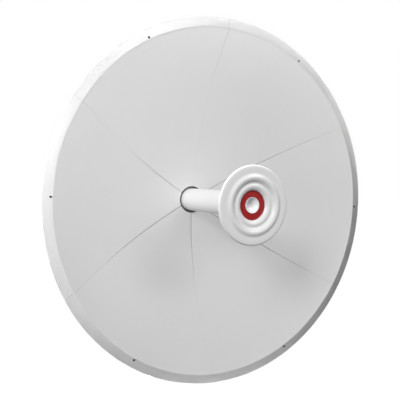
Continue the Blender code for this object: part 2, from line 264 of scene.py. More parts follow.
def galvanised_steel():
    """Zinc crystals about 9 mm across in greys close to each other, dulled in places."""
    look, tree, shader = principled("galvanised_steel", (0.58, 0.59, 0.61), 0.42, 0.85)
    where = tree.nodes.new("ShaderNodeTexCoord")
    crystals = tree.nodes.new("ShaderNodeTexVoronoi")
    crystals.inputs["Scale"].default_value = 110
    crystals.inputs["Randomness"].default_value = 1
    tree.links.new(where.outputs["Object"], crystals.inputs["Vector"])
    split = tree.nodes.new("ShaderNodeSeparateColor")
    tree.links.new(crystals.outputs["Color"], split.inputs["Color"])
    toned(tree, shader, split.outputs["Red"], (0.55, 0.56, 0.58), (0.60, 0.61, 0.63), 0, 1)
    spread(tree, split.outputs["Green"], shader.inputs["Roughness"], 0.40, 0.49, 0, 1)
    bumped(tree, shader, noise(tree, 700, 4), 0.12, 0.0002)
    return look


def slots_in_mast_plate():
    """The four slots for the legs of the mast clamps."""
    cutters = []
    for x in (-clamp_x, clamp_x):
        for z in (-clamp_z, clamp_z):
            slot = prism(straight_slot(clamp_slot_length, bolt_slot_width), -2 * mast_sheet, 2 * mast_sheet)
            bmesh.ops.translate(slot, verts=slot.verts, vec=(x, z, 0))
            cutters.append(slot)
    return cutters


def lock_slot():
    """The curved slot about the pivot, cut through both arms, in the yoke's own frame."""
    reach = mast_high[0] * 1.2
    slot = prism(curved_slot(lock_r, lock_swing, bolt_slot_width), -reach, reach)
    turn = Matrix(((0, 0, 1, 0), (0, 1, 0, pivot_z), (-1, 0, 0, -pivot_y), (0, 0, 0, 1)))
    bmesh.ops.transform(slot, matrix=turn, verts=slot.verts)
    return slot


galvanised = galvanised_steel()
yoke_stands = Matrix.Rotation(math.pi / 2, 4, "X")
mast_plate = folded_plate(mast_low, mast_high, mast_sheet, yoke_corner_r)
mast_plate = with_modifiers(
    mast_plate, mast_sheet, cutters=[*slots_in_mast_plate(), lock_slot()], broken=edge_break
)
piece(
    mast_plate, "mast_yoke_plate", galvanised, "mast_yoke_galvanised", "mast_yoke",
    place=yoke_stands, flat_sided=True,
)

# Dish yoke
# Steel plate, 3 mm thick, folded and galvanised like the mast yoke. Its base has a large round hole
# for the rear housing and bolts to the hub, and its ears lie inside the mast yoke's arms.
ear_low, ear_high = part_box("dish_yoke")
yoke_sheet = 0.003
yoke_hole_r = 0.044
hub_back = 0.030
vertex_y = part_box("hub_casting")[1][1] - hub_back

# The dish frame has x to the right, y up and z forward from the vertex of the bowl
dish = Matrix.Translation((0, vertex_y, 0)) @ Matrix.Rotation(math.pi / 2, 4, "X")
dish_plate = folded_plate(ear_low, ear_high, yoke_sheet, yoke_corner_r)
hole = bmesh.new()
bmesh.ops.create_cone(
    hole, cap_ends=True, segments=96, radius1=yoke_hole_r, radius2=yoke_hole_r, depth=4 * yoke_sheet
)
dish_plate = with_modifiers(dish_plate, yoke_sheet, cutters=[hole], broken=edge_break)
yoke_turned = Matrix.Translation((0, ear_low[1], 0)) @ Matrix.Rotation(-math.pi / 2, 4, "X")
piece(
    dish_plate, "dish_yoke_plate", galvanised, "dish_yoke_galvanised", "dish_yoke",
    place=yoke_turned, flat_sided=True,
)

# Elevation bolts
# Zinc-plated steel. On each side a pivot bolt and a lock bolt of 8 mm clamp the two yokes together,
# each with a washer and hexagon head outside and a washer and nut inside.
gap = 0.0003
rim_angle = math.radians(70)
rim_share = 0.12
bolt_flats = 0.013
bolt_washer_r = 0.0100
bolt_washer = 0.0018
bolt_head = 0.0053
nut_washer_r = 0.0080
nut_washer = 0.0016
bolt_nut = 0.0066
bolt_end_r = 0.0038
bolt_end_from = 0.0080
bolt_end_to = 0.0110


def fastener(bm, place, layers):
    """Adds round or hexagonal layers along z, each of sides, radius, low and high, edges broken."""
    for sides, radius, low, high in layers:
        middle = place @ Matrix.Translation((0, 0, (low + high) / 2))
        made = bmesh.ops.create_cone(
            bm, cap_ends=True, segments=sides, radius1=radius, radius2=radius, depth=high - low,
            matrix=middle,
        )
        edges = dict.fromkeys(e for v in made["verts"] for e in v.link_edges)
        rims = [e for e in edges if e.calc_face_angle() > rim_angle]
        bmesh.ops.bevel(
            bm, geom=rims, offset=(high - low) * rim_share, segments=2, profile=0.5,
            affect="EDGES", material=-1,
        )


def hexagon(across_flats):
    """Radius of a hexagon's corners."""
    return across_flats / math.sqrt(3)


def zinc_plate():
    look, tree, shader = principled("bright_zinc_plate", (0.66, 0.67, 0.69), 0.3, 1.0)
    toned(tree, shader, noise(tree, 160, 3), (0.62, 0.63, 0.66), (0.70, 0.70, 0.72))
    spread(tree, noise(tree, 420, 4), shader.inputs["Roughness"], 0.24, 0.38)
    bumped(tree, shader, noise(tree, 1800, 2), 0.08, 0.0001)
    return look


zinc = zinc_plate()
elevation_bolts = bmesh.new()
for side in (-1, 1):
    for y, z in ((pivot_y, pivot_z), (pivot_y, pivot_z + lock_r)):
        outward = Matrix.Translation((0, y, z)) @ Matrix.Rotation(side * math.pi / 2, 4, "Y")
        outer_face = mast_high[0] + gap
        under_head = outer_face + bolt_washer
        inner_face = ear_high[0] - yoke_sheet - gap
        under_nut = inner_face - nut_washer
        fastener(elevation_bolts, outward, (
            (48, bolt_washer_r, outer_face, under_head),
            (6, hexagon(bolt_flats), under_head, under_head + bolt_head),
            (48, nut_washer_r, under_nut, inner_face),
            (6, hexagon(bolt_flats), under_nut - bolt_nut, under_nut),
            (32, bolt_end_r, inner_face - bolt_end_to, inner_face - bolt_end_from),
        ))
piece(elevation_bolts, "elevation_bolts", zinc, "splice_zinc", flat_sided=True)

# Hub casting
# A round aluminium casting, left as cast. Its dished web seats the petals, and its deep boss is bored
# for the feed tube and carries the yoke on four bolts of 6 mm.
_, hub_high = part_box("hub_casting")
petal_low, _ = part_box("petal_1")
sheet = 0.0015
hub_r = hub_high[0]
rim_r = cad_high[2]
rim_width = 0.0173
bowl_r = rim_r - rim_width
bowl_depth = vertex_y - petal_low[1]
focal = bowl_r**2 / (4 * bowl_depth)
hub_web = 0.006
boss_r = 0.062
boss_foot = 0.004
boss_fillet_r = 0.6 * boss_foot
boss_edge = 0.0015
web_steps = 6
face_steps = 12
tube_low, tube_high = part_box("feed_tube")
tube_r = tube_high[0]
hole_r = 0.0254
recess_depth = 0.0055
yoke_bolt_at = 0.0375
yoke_bolt_flats = 0.010
yoke_bolt_head = 0.0040
yoke_washer_r = 0.0060
yoke_washer = 0.0016


def bowl_z(radius, behind=0.0):
    """Height of the reflecting surface above its vertex, or of a surface that lies behind it."""
    slope = radius / (2 * focal)
    return radius**2 / (4 * focal) - behind * math.sqrt(1 + slope**2)


def rounded(points, corner, radius, steps=4):
    """The outline with the numbered corner turned into an arc of that radius."""
    before, at, after = (Vector(points[i]) for i in (corner - 1, corner, (corner + 1) % len(points)))
    back = (before - at).normalized()
    on = (after - at).normalized()
    half = back.angle(on) / 2
    centre = at + (back + on).normalized() * radius / math.sin(half)
    start = at + back * radius / math.tan(half) - centre
    end = at + on * radius / math.tan(half) - centre
    sweep = start.angle_signed(end)
    bend = [tuple(centre + Matrix.Rotation(-sweep * i / steps, 2) @ start) for i in range(steps + 1)]
    return [*points[:corner], *bend, *points[corner + 1 :]]


def spun(profile, angle=math.tau, steps=144):
    """The profile of radius and z turned about z."""
    bm = bmesh.new()
    line = [bm.verts.new((r, 0, z)) for r, z in profile]
    edges = [bm.edges.new(pair) for pair in zip(line, line[1:])]
    bmesh.ops.spin(
        bm, geom=line + edges, cent=(0, 0, 0), axis=(0, 0, 1), angle=angle, steps=steps,
        use_merge=angle == math.tau,
    )
    bmesh.ops.remove_doubles(bm, verts=bm.verts, dist=0.000002)
    bmesh.ops.recalc_face_normals(bm, faces=bm.faces)
    return bm


def hub_profile():
    """From the bore's rear end out over the boss, along the back of the web, and in along its front."""
    bore_r = tube_r + gap
    behind = sheet + gap
    foot_r = boss_r + boss_foot
    web = [foot_r + (hub_r - foot_r) * i / web_steps for i in range(web_steps + 1)]
    back = [(bore_r, -hub_back), (boss_r, -hub_back)]
    back += [(r, bowl_z(r, behind + hub_web)) for r in (boss_r, *web)]
    back = rounded(back, 2, boss_fillet_r, 6)
    back = rounded(back, 1, boss_edge)
    face = [hub_r - (hub_r - hole_r) * i / face_steps for i in range(face_steps + 1)]
    front = [(r, bowl_z(r, behind)) for r in face]
    recess = [(hole_r, -recess_depth), (bore_r, -recess_depth)]
    return back + front + recess + back[:1]


def facing_back(reach):
    """Places at the corners of a square round the dish's axis, with z to the rear."""
    turned = Matrix.Rotation(math.pi, 4, "X")
    return [
        dish @ Matrix.Translation((x, y, 0)) @ turned for x in (-reach, reach) for y in (-reach, reach)
    ]


def cast_aluminium():
    look, tree, shader = principled("cast_aluminium", (0.62, 0.63, 0.64), 0.5, 0.8)
    toned(tree, shader, noise(tree, 60, 4), (0.56, 0.57, 0.58), (0.66, 0.67, 0.68))
    spread(tree, noise(tree, 300, 3), shader.inputs["Roughness"], 0.44, 0.6)
    bumped(tree, shader, noise(tree, 1100, 4), 0.35, 0.0003)
    return look


hub = with_modifiers(spun(hub_profile()), broken=edge_break)
piece(
    hub, "hub_casting_cast", cast_aluminium(), "hub_aluminium", "hub_casting",
    place=dish, flat_sided=True,
)
yoke_bolts = bmesh.new()
yoke_face = hub_back + yoke_sheet + 2 * gap
for place in facing_back(yoke_bolt_at):
    under_head = yoke_face + yoke_washer
    fastener(yoke_bolts, place, (
        (40, yoke_washer_r, yoke_face, under_head),
        (6, hexagon(yoke_bolt_flats), under_head, under_head + yoke_bolt_head),
    ))
piece(yoke_bolts, "yoke_bolts", zinc, "splice_zinc", flat_sided=True)

# Rear housing
# A die-cast box in light grey powder coat with a screwed lid. Its round flange seats on the hub's
# boss, and it joins the feed's waveguide to the two sockets below.
_, block_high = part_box("feed_rear_block")
block_side = 0.068
block_flange = 0.005
block_flange_r = block_high[0]
block_corner = 0.008
block_front = hub_back + gap
block_back = block_high[1] - vertex_y
lid_thick = 0.004
lid_groove = 0.0008
lid_edge = 0.0012
lid_screw_at = 0.027
lid_screw_r = 0.0030
lid_screw_head = 0.0018
flange_overlap = 0.001
corner_steps = 8


def rounded_square(half, radius):
    """The outline of a square with round corners."""
    turns = ((1, 1, 0), (-1, 1, 1), (-1, -1, 2), (1, -1, 3))
    reach = half - radius
    outline = []
    for x, y, quarter in turns:
        start = quarter * math.pi / 2
        outline += arc((x * reach, y * reach), radius, start, start + math.pi / 2, corner_steps)
    return outline


def housing_body():
    """A rounded square box, extruded by steps from its flange back, with the groove round its lid."""
    half = block_side / 2
    bm = bmesh.new()
    start = -block_front - block_flange + flange_overlap
    face = bm.faces.new([bm.verts.new((x, y, start)) for x, y in rounded_square(half, block_corner)])
    groove = -block_back + lid_thick
    inset_now = 0.0
    steps = (
        (groove + 2 * lid_groove, 0), (groove + lid_groove, lid_groove), (groove, lid_groove),
        (groove, 0), (-block_back + lid_edge, 0), (-block_back + lid_edge / 3, lid_edge / 4),
        (-block_back, lid_edge),
    )
    for z, inset in steps:
        risen = bmesh.ops.extrude_face_region(bm, geom=[face])
        face = next(item for item in risen["geom"] if isinstance(item, bmesh.types.BMFace))
        share = (half - inset) / (half - inset_now)
        for vert in face.verts:
            vert.co = (vert.co.x * share, vert.co.y * share, z)
        inset_now = inset
    bmesh.ops.recalc_face_normals(bm, faces=bm.faces)
    return bm


def housing_flange():
    bm = bmesh.new()
    bmesh.ops.create_cone(
        bm, cap_ends=True, segments=96, radius1=block_flange_r, radius2=block_flange_r,
        depth=block_flange,
    )
    bmesh.ops.translate(bm, verts=bm.verts, vec=(0, 0, -block_front - block_flange / 2))
    return bm


def powder_coat_grey():
    look, tree, shader = principled("powder_coat_grey", (0.55, 0.56, 0.57), 0.5)
    toned(tree, shader, noise(tree, 40, 3), (0.53, 0.54, 0.55), (0.57, 0.58, 0.59))
    spread(tree, noise(tree, 500, 2), shader.inputs["Roughness"], 0.45, 0.55)
    bumped(tree, shader, noise(tree, 1400, 2), 0.25, 0.0002)
    return look


housing = with_modifiers(housing_body(), joined=[housing_flange()])
piece(
    housing, "rear_housing", powder_coat_grey(), "block_grey", "feed_rear_block",
    sharp=30, place=dish, flat_sided=True,
)
lid_screws = bmesh.new()
for place in facing_back(lid_screw_at):
    fastener(lid_screws, place, ((32, lid_screw_r, block_back, block_back + lid_screw_head),))
piece(lid_screws, "lid_screws", zinc, "splice_zinc")

# Coaxial sockets
# Two nickel-plated brass sockets with a coarse thread, screwed into the housing's underside. Each has
# a white insulator and a hollow pin inside its mouth.
port_low, port_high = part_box("coax_port_1")
port_x = (port_low[0] + port_high[0]) / 2
port_y = (port_low[1] + port_high[1]) / 2
port_seat_r = (port_high[0] - port_low[0]) / 2
port_length = port_high[2] - port_low[2]
port_top = port_high[2]
seat_thick = 0.003
barrel_r = 0.0079
port_bore_r = 0.0062
port_mouth = 0.009
thread_start = 0.0025
thread_end = 0.0012
thread_pitch = 0.00106
thread_depth = 0.0005
crest_from = 0.4
crest_to = 0.6
seat_edge = 0.0004
insulator_r = 0.0042
insulator_bore_r = 0.0016
insulator_sunk = 0.0045
pin_r = 0.0015
pin_bore_r = 0.0009
pin_sunk = 0.0028


def socket_profile():
    """Down the outside of the socket with its thread's ridges, then up its bore, z from the seat."""
    root_r = barrel_r - thread_depth
    thread_top = seat_thick + thread_start
    turns = int((port_length - thread_end - thread_top) / thread_pitch)
    profile = [(0, 0), (port_seat_r, 0), (port_seat_r, -seat_thick), (root_r, -seat_thick)]
    profile = rounded(profile, 2, seat_edge)
    profile.append((root_r, -thread_top))
    for i in range(turns):
        z = -thread_top - thread_pitch * i
        profile += [(barrel_r, z - thread_pitch * share) for share in (crest_from, crest_to)]
        profile.append((root_r, z - thread_pitch))
    profile += [(root_r, -port_length), (port_bore_r, -port_length)]
    profile += [(port_bore_r, -port_length + port_mouth), (0, -port_length + port_mouth)]
    return profile


def in_mouth(inner, outer, sunk, steps):
    """A short tube on the floor of the socket's bore, its end sunk in the mouth."""
    bottom = -port_length + port_mouth - gap
    end = -port_length + sunk
    profile = [(inner, bottom), (outer, bottom), (outer, end), (inner, end)]
    return spun(profile + profile[:1], steps=steps)


def nickel_plate():
    look, tree, shader = principled("nickel_plate", (0.70, 0.68, 0.64), 0.24, 1.0)
    toned(tree, shader, noise(tree, 300, 3), (0.66, 0.64, 0.60), (0.73, 0.71, 0.67))
    spread(tree, noise(tree, 900, 3), shader.inputs["Roughness"], 0.2, 0.3)
    return look


def white_insulator():
    look, tree, shader = principled("white_insulator", (0.80, 0.80, 0.78), 0.45)
    toned(tree, shader, noise(tree, 500, 3), (0.76, 0.76, 0.74), (0.82, 0.82, 0.80))
    return look


nickel = nickel_plate()
insulator = white_insulator()
for i, side in enumerate((1, -1)):
    seat = Matrix.Translation((side * port_x, port_y, port_top))
    name = f"coax_port_{i + 1}"
    piece(spun(socket_profile(), steps=72), f"{name}_socket", nickel, "port_nickel", name, place=seat)
    bead = in_mouth(insulator_bore_r, insulator_r, insulator_sunk, steps=48)
    piece(bead, f"{name}_insulator", insulator, "port_nickel", place=seat)
    pin = in_mouth(pin_bore_r, pin_r, pin_sunk, steps=32)
    piece(pin, f"{name}_pin", nickel, "port_nickel", place=seat)

# Petals
# The reflector is six pressed sheets of 1.5 mm aluminium in white paint. Each has a satin bowl, a flat
# rim flange rolled smooth, with one slot in it, and edges folded back at the rim and along both seams.
petal_count = 6
petal_angle = math.tau / petal_count
petal_steps = 40
bowl_steps = 44

# Of each seam, clockwise from the top: its opening at the hub, the radius at which it is shut, and its
# opening at the rim
seams = (
    (0.0, 0.20, 0.0006),
    (0.0012, 0.32, 0.0008),
    (0.0016, 0.28, 0.0003),
    (0.0013, 0.17, 0.0),
    (0.0019, 0.23, 0.0002),
    (0.0012, 0.17, 0.0001),
)
seam_shut = 0.00008
seam_start_r = 0.0954
rim_fall = 0.0031
lip_depth = 0.0075
crease_r = 0.003
fold_r = 0.0002
slot_r = 0.3117
slot_length = 0.0041
slot_width = 0.0034
front_margin = 0.001
fold_angle = math.radians(40)
sheen_edge = 0.001


def flange_z(radius):
    """Height of the rim flange's front above the vertex."""
    return bowl_depth - rim_fall * (radius - bowl_r) / (rim_r - bowl_r)


def seam_width(seam, radius):
    """How wide a seam is open at a radius."""
    at_hub, shut_r, at_rim = seams[seam % petal_count]
    if radius < shut_r:
        return seam_shut + at_hub * (1 - (radius / shut_r) ** 2)
    return seam_shut + at_rim * (radius - shut_r) / (rim_r - shut_r)


def draw_in(verts, number, amount):
    """Turn points towards the middle of their petal, by half the amount for their seam's width."""
    for vert in verts:
        radius = vert.co.xy.length
        off_centre = math.atan2(vert.co.x, vert.co.y) / (petal_angle / 2)
        seam = number + 1 if off_centre > 0 else number
        drawn_in = off_centre * amount(seam_width(seam, radius)) / 2 / radius
        vert.co.xy = Matrix.Rotation(drawn_in, 2) @ vert.co.xy


def facing_forward(bm):
    """The sheet with its normals to the front."""
    if max(bm.faces, key=lambda f: f.calc_area()).normal.z < 0:
        bmesh.ops.reverse_faces(bm, faces=bm.faces)
    return bm


def petal_front(number):
    """The front of one petal, centred on +y, drawn in or out to its two seams."""
    bowl_end = bowl_r - crease_r
    radii = [hole_r + (bowl_end - hole_r) * i / bowl_steps for i in range(bowl_steps + 1)]
    bowl = [(r, bowl_z(r)) for r in radii]
    rim = [(rim_r - 2 * fold_r, flange_z(rim_r - 2 * fold_r)), (rim_r, flange_z(rim_r))]
    profile = rounded([*bowl, (bowl_r, bowl_depth), *rim], len(bowl), crease_r, 5)
    bm = spun(profile, petal_angle, petal_steps)
    start = Matrix.Rotation((math.pi - petal_angle) / 2, 4, "Z")
    bmesh.ops.transform(bm, matrix=start, verts=bm.verts)
    for side in (1, -1):
        across = Vector((side * math.cos(petal_angle / 2), -math.sin(petal_angle / 2), 0))
        for inset, cut in ((gap / 2, True), (gap / 2 + 2 * fold_r, False)):
            bmesh.ops.bisect_plane(
                bm, geom=bm.verts[:] + bm.edges[:] + bm.faces[:], plane_co=-across * inset,
                plane_no=across, clear_outer=cut,
            )
    draw_in(bm.verts, number, lambda width: width - gap)
    return facing_forward(bm)


def fold_back(bm, number):
    """Fold the edges back at the rim and, beyond the hub, along both seams, which shut behind."""
    nearest = seam_start_r - gap
    turned = [e for e in bm.edges if e.is_boundary and min(v.co.xy.length for v in e.verts) > nearest]
    folded = bmesh.ops.extrude_edge_only(bm, edges=turned)
    ends = [item for item in folded["geom"] if isinstance(item, bmesh.types.BMVert)]
    bmesh.ops.translate(bm, verts=ends, vec=(0, 0, -lip_depth))
    draw_in(ends, number, lambda width: seam_shut - width)
    bmesh.ops.recalc_face_normals(bm, faces=bm.faces)
    return facing_forward(bm)


def soften_folds(bm):
    """Round the front edges that run along the rim and the seams."""
    def on_front(vert):
        radius = vert.co.xy.length
        height = flange_z(radius) if radius > bowl_r + crease_r else bowl_z(radius)
        return abs(vert.co.z - height) < front_margin

    sharp = []
    for edge in bm.edges:
        if len(edge.link_faces) == 2 and edge.calc_face_angle() > fold_angle:
            if edge.calc_face_angle_signed() > 0 and all(on_front(v) for v in edge.verts):
                sharp.append(edge)
    bmesh.ops.bevel(
        bm, geom=sharp, offset=fold_r, segments=3, profile=0.5, affect="EDGES", material=-1
    )
    return bm


def petal_slot():
    """A bar with round ends that cuts the slot, its length along the radius."""
    bm = prism(straight_slot(slot_length, slot_width), -2 * lip_depth, 2 * lip_depth)
    across = Matrix.Translation((0, slot_r, bowl_depth)) @ Matrix.Rotation(math.pi / 2, 4, "Z")
    bmesh.ops.transform(bm, matrix=across, verts=bm.verts)
    return bm


def petal_paint():
    """White paint, satin on the bowl and with a metallic sheen on the front of the rolled rim."""
    look, tree, shader = principled("white_paint", (0.80, 0.80, 0.80), 0.4)
    toned(tree, shader, noise(tree, 9, 2), (0.795, 0.795, 0.795), (0.81, 0.81, 0.81))
    where = tree.nodes.new("ShaderNodeTexCoord")
    flat = tree.nodes.new("ShaderNodeVectorMath")
    flat.operation = "MULTIPLY"
    flat.inputs[1].default_value = (1, 0, 1)
    tree.links.new(where.outputs["Object"], flat.inputs[0])
    radius = tree.nodes.new("ShaderNodeVectorMath")
    radius.operation = "LENGTH"
    tree.links.new(flat.outputs["Vector"], radius.inputs[0])
    facing = tree.nodes.new("ShaderNodeSeparateXYZ")
    tree.links.new(where.outputs["Normal"], facing.inputs["Vector"])
    sheen = tree.nodes.new("ShaderNodeMath")
    sheen.operation = "MULTIPLY"
    spread(tree, radius.outputs["Value"], sheen.inputs[0], 0, 1, bowl_r, bowl_r + sheen_edge)
    spread(tree, facing.outputs["Y"], sheen.inputs[1], 1, 0, -0.5, -0.3)
    tree.links.new(sheen.outputs["Value"], shader.inputs["Metallic"])
    spread(tree, noise(tree, 35, 4), shader.inputs["Roughness"], 0.34, 0.39)
    bumped(tree, shader, noise(tree, 900, 2), 0.05, 0.0002)
    return look


white_paint = petal_paint()
for i in range(petal_count):
    petal = soften_folds(with_modifiers(fold_back(petal_front(i), i), sheet, -1))
    petal = with_modifiers(petal, cutters=[petal_slot()])
    turn = Matrix.Rotation(-petal_angle * (i + 0.5), 4, "Z")
    name = f"petal_{i + 1}"
    piece(petal, f"{name}_painted", white_paint, "petal_white", name, place=dish @ turn)

# Clip nuts
# A spring-steel nut is clipped behind each slot of the rim, to take the screws of a cover. Its collar
# fills the slot and stands a little proud of the painted face. Nut and collar are near-black as
# painted shade, standing in for the shadow down each slot.
clip_width = 0.008
clip_length = 0.0078
clip_thick = 0.001
clip_cut = 0.0016
clip_shift = 0.0012
clip_boss_r = 0.0024
clip_boss = 0.0018
clip_collar = 0.0029
clip_play = 0.0002


# Near-black painted shade: the nuts and their collars stand in for the shadow seen down the rim's slots
def painted_slot_shade_black():
    look, tree, shader = principled("painted_slot_shade_black", (0.009, 0.009, 0.0095), 0.6)
    toned(tree, shader, noise(tree, 300, 3), (0.006, 0.006, 0.0064), (0.013, 0.013, 0.0136))
    spread(tree, noise(tree, 900, 3), shader.inputs["Roughness"], 0.55, 0.7)
    return look


def add_to(bm, other):
    """Adds the second bmesh to the first and frees it."""
    mesh = bpy.data.meshes.new("loose")
    other.to_mesh(mesh)
    other.free()
    bm.from_mesh(mesh)
    bpy.data.meshes.remove(mesh)


def clip_nut():
    """A plate with its front at z = 0, a collar before it and a boss behind."""
    x = clip_width / 2
    y = clip_length / 2
    outline = [(x - clip_cut, -y), (x, clip_cut - y), (x, y - clip_cut), (x - clip_cut, y)]
    outline += [(clip_cut - x, y), (-x, y - clip_cut), (-x, clip_cut - y), (clip_cut - x, -y)]
    bm = prism(outline, -clip_thick, 0)
    fastener(bm, Matrix(), ((24, clip_boss_r, -clip_thick - clip_boss, -clip_thick),))
    # The collar fills the slot, so the slot shows the nut's near-black, painted shade in place of the
    # shadow inside it
    collar = prism(straight_slot(slot_length - clip_play, slot_width - clip_play), 0, clip_collar)
    turned = Matrix.Translation((0, -clip_shift, 0)) @ Matrix.Rotation(math.pi / 2, 4, "Z")
    bmesh.ops.transform(collar, matrix=turned, verts=collar.verts)
    add_to(bm, collar)
    return bm


rim_lean = math.atan(rim_fall / (rim_r - bowl_r))
clip_nuts = bmesh.new()
for i in range(petal_count):
    turn = Matrix.Rotation(-petal_angle * (i + 0.5), 4, "Z")
    behind_slot = Matrix.Translation((0, slot_r, flange_z(slot_r))) @ Matrix.Rotation(-rim_lean, 4, "X")
    seat = Matrix.Translation((0, clip_shift, -sheet - gap))
    one = clip_nut()
    bmesh.ops.transform(one, matrix=dish @ turn @ behind_slot @ seat, verts=one.verts)
    add_to(clip_nuts, one)
piece(clip_nuts, "rim_clip_nuts", painted_slot_shade_black(), "splice_zinc")

# Petal nuts
# Two 5 mm studs are pressed into each petal from the front and hold it to the hub's web with a
# zinc-plated nut and washer behind.
stud_at = 0.082
stud_turn = math.radians(14)
stud_r = 0.0024
stud_from = 0.0051
stud_to = 0.0070
stud_nut_flats = 0.008
stud_nut = 0.0040
stud_washer_r = 0.0052
stud_washer = 0.0010
stud_lean = math.atan(stud_at / (2 * focal))
stud_nut_from = gap + stud_washer
petal_nuts = bmesh.new()
for i in range(petal_count):
    for side in (-1, 1):
        around = math.pi / 2 - petal_angle * (i + 0.5) + side * stud_turn
        face = bowl_z(stud_at, sheet + gap + hub_web)
        on_web = Matrix.Translation((stud_at + sheet * math.sin(stud_lean), 0, face))
        turned_back = Matrix.Rotation(math.pi - stud_lean, 4, "Y")
        rearward = dish @ Matrix.Rotation(around, 4, "Z") @ on_web @ turned_back
        fastener(petal_nuts, rearward, (
            (32, stud_washer_r, gap, stud_nut_from),
            (6, hexagon(stud_nut_flats), stud_nut_from, stud_nut_from + stud_nut),
            (24, stud_r, stud_from, stud_to),
        ))
piece(petal_nuts, "petal_nuts", zinc, "splice_zinc")

# Rim splices
# Behind the rim a folded zinc-plated channel clasps the flanges of each seam, with two small screws
# and nuts across it.
splice_r = 0.285
splice_length = 0.030
splice_wall = 0.002
splice_lap = 0.005
splice_inner = 2 * sheet + 3 * gap
splice_lean = math.atan(splice_r / (2 * focal))
splice_base = lip_depth * math.cos(splice_lean) + 2 * gap
splice_bend_r = 0.0016
splice_edge = 0.0003
splice_screw_at = 0.009
splice_screw_rise = 0.0024
splice_screw_r = 0.0022
splice_screw_head = 0.0014
splice_nut_flats = 0.0042
splice_nut = 0.0018
splice_play = 0.0002


def splice_channel():
    """A channel along z, open towards +y, its corners bent round."""
    inner = splice_inner / 2
    outer = inner + splice_wall
    top = splice_lap - splice_base
    base = -splice_base
    outline = [(-outer, top), (-outer, base - splice_wall), (outer, base - splice_wall), (outer, top)]
    outline += [(inner, top), (inner, base), (-inner, base), (-inner, top)]
    outline = rounded(outline, 2, splice_bend_r)
    outline = rounded(outline, 1, splice_bend_r)
    return with_modifiers(prism(outline, -splice_length / 2, splice_length / 2), broken=splice_edge)


def splice_screws():
    """Cheese-head screws along +x with a nut at the far end."""
    bm = bmesh.new()
    seat = splice_inner / 2 + splice_wall + splice_play
    crosswise = Matrix.Rotation(math.pi / 2, 4, "Y")
    for along in (-splice_screw_at, splice_screw_at):
        axis = Matrix.Translation((0, splice_screw_rise - splice_base, along)) @ crosswise
        fastener(bm, axis, (
            (32, splice_screw_r, seat, seat + splice_screw_head),
            (6, hexagon(splice_nut_flats), -seat - splice_nut, -seat),
        ))
    return bm


channel = splice_channel()
screws = splice_screws()
for i in range(petal_count):
    turn = Matrix.Rotation(-petal_angle * i, 4, "Z")
    on_seam = Matrix.Translation((0, splice_r, bowl_z(splice_r)))
    lay = dish @ turn @ on_seam @ Matrix.Rotation(math.pi / 2 + splice_lean, 4, "X")
    name = f"rim_splice_{i + 1}"
    piece(channel.copy(), f"{name}_channel", zinc, "splice_zinc", name, place=lay, flat_sided=True)
    piece(screws.copy(), f"{name}_screws", zinc, "splice_zinc", place=lay)
channel.free()
screws.free()

# Feed gasket
# A grey rubber cup pressed into the hub's recess. Its wall lines the hole in the petals, and its
# floor closes round the feed tube.
gasket_low, gasket_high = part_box("feed_gasket")
gasket_wall = 0.0004
gasket_floor = 0.0010


def rubber_cup():
    outer = gasket_high[0]
    inner = tube_r + gap
    front = vertex_y - gasket_low[1]
    back = gap - recess_depth
    floor = back + gasket_floor
    profile = [(inner, back), (outer, back), (outer, front), (outer - gasket_wall, front)]
    profile += [(outer - gasket_wall, floor), (inner, floor)]
    return spun(profile + profile[:1])


def grey_rubber():
    look, tree, shader = principled("grey_rubber", (0.13, 0.13, 0.132), 0.7)
    toned(tree, shader, noise(tree, 400, 3), (0.11, 0.11, 0.112), (0.15, 0.15, 0.152))
    spread(tree, noise(tree, 900, 3), shader.inputs["Roughness"], 0.62, 0.8)
    bumped(tree, shader, noise(tree, 2500, 3), 0.3, 0.0001)
    return look


piece(rubber_cup(), "feed_gasket_ring", grey_rubber(), "gasket_rubber", "feed_gasket", place=dish)

# Feed tube
# A white plastic sleeve over the round waveguide. It comes through the gasket and carries the cone.
tube_front = vertex_y - tube_low[1]
tube_wall = 0.0017
sleeve_play = 0.0008
sleeve_edge = 0.0004
sleeve_r = tube_r - sleeve_play


def sleeve():
    bore = sleeve_r - tube_wall
    profile = [(bore, -hub_back), (sleeve_r, -hub_back), (sleeve_r, tube_front), (bore, tube_front)]
    profile = rounded(profile, 2, sleeve_edge)
    profile = rounded(profile, 1, sleeve_edge)
    return spun(profile + profile[:1])


def moulded_white():
    look, tree, shader = principled("moulded_white_plastic", (0.84, 0.84, 0.84), 0.35)
    toned(tree, shader, noise(tree, 30, 2), (0.83, 0.83, 0.83), (0.85, 0.85, 0.85))
    spread(tree, noise(tree, 120, 3), shader.inputs["Roughness"], 0.32, 0.38)
    bumped(tree, shader, noise(tree, 1500, 2), 0.04, 0.0001)
    return look


white_plastic = moulded_white()
piece(sleeve(), "feed_tube_sleeve", white_plastic, "feed_white", "feed_tube", place=dish)

# Feed cone
# The moulded flare between the tube and the disc. Its plug seats in the tube's bore, and its front
# has a well for the centre cap.
cone_low, cone_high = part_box("feed_cone")
cone_r = cone_high[0]
cone_face = vertex_y - cone_low[1]
cone_rear = tube_front + gap
plug_end = vertex_y - cone_high[1]
cap_low, cap_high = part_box("centre_cap")
cap_bore = cap_high[0] + gap
cap_hollow = 0.0085
cap_wall = 0.001
cap_back = vertex_y - cap_low[1] - cap_hollow - cap_wall
plug_edge = 0.0008
flare_steps = 24


def flare():
    """Out along the plug, up the quarter of an ellipse that flares, and down into the well."""
    plug_r = sleeve_r - tube_wall - gap
    profile = [(0, plug_end), (plug_r, plug_end), (plug_r, cone_rear)]
    for i in range(flare_steps + 1):
        turn = i * math.pi / (2 * flare_steps)
        radius = sleeve_r + (cone_r - sleeve_r) * (1 - math.cos(turn))
        profile.append((radius, cone_rear + (cone_face - cone_rear) * math.sin(turn)))
    profile = rounded(profile, 1, plug_edge)
    well = [(cap_bore, cone_face), (cap_bore, cap_back - gap), (0, cap_back - gap)]
    return spun([*profile, *well])


piece(flare(), "feed_cone_flare", white_plastic, "cone_white", "feed_cone", place=dish)

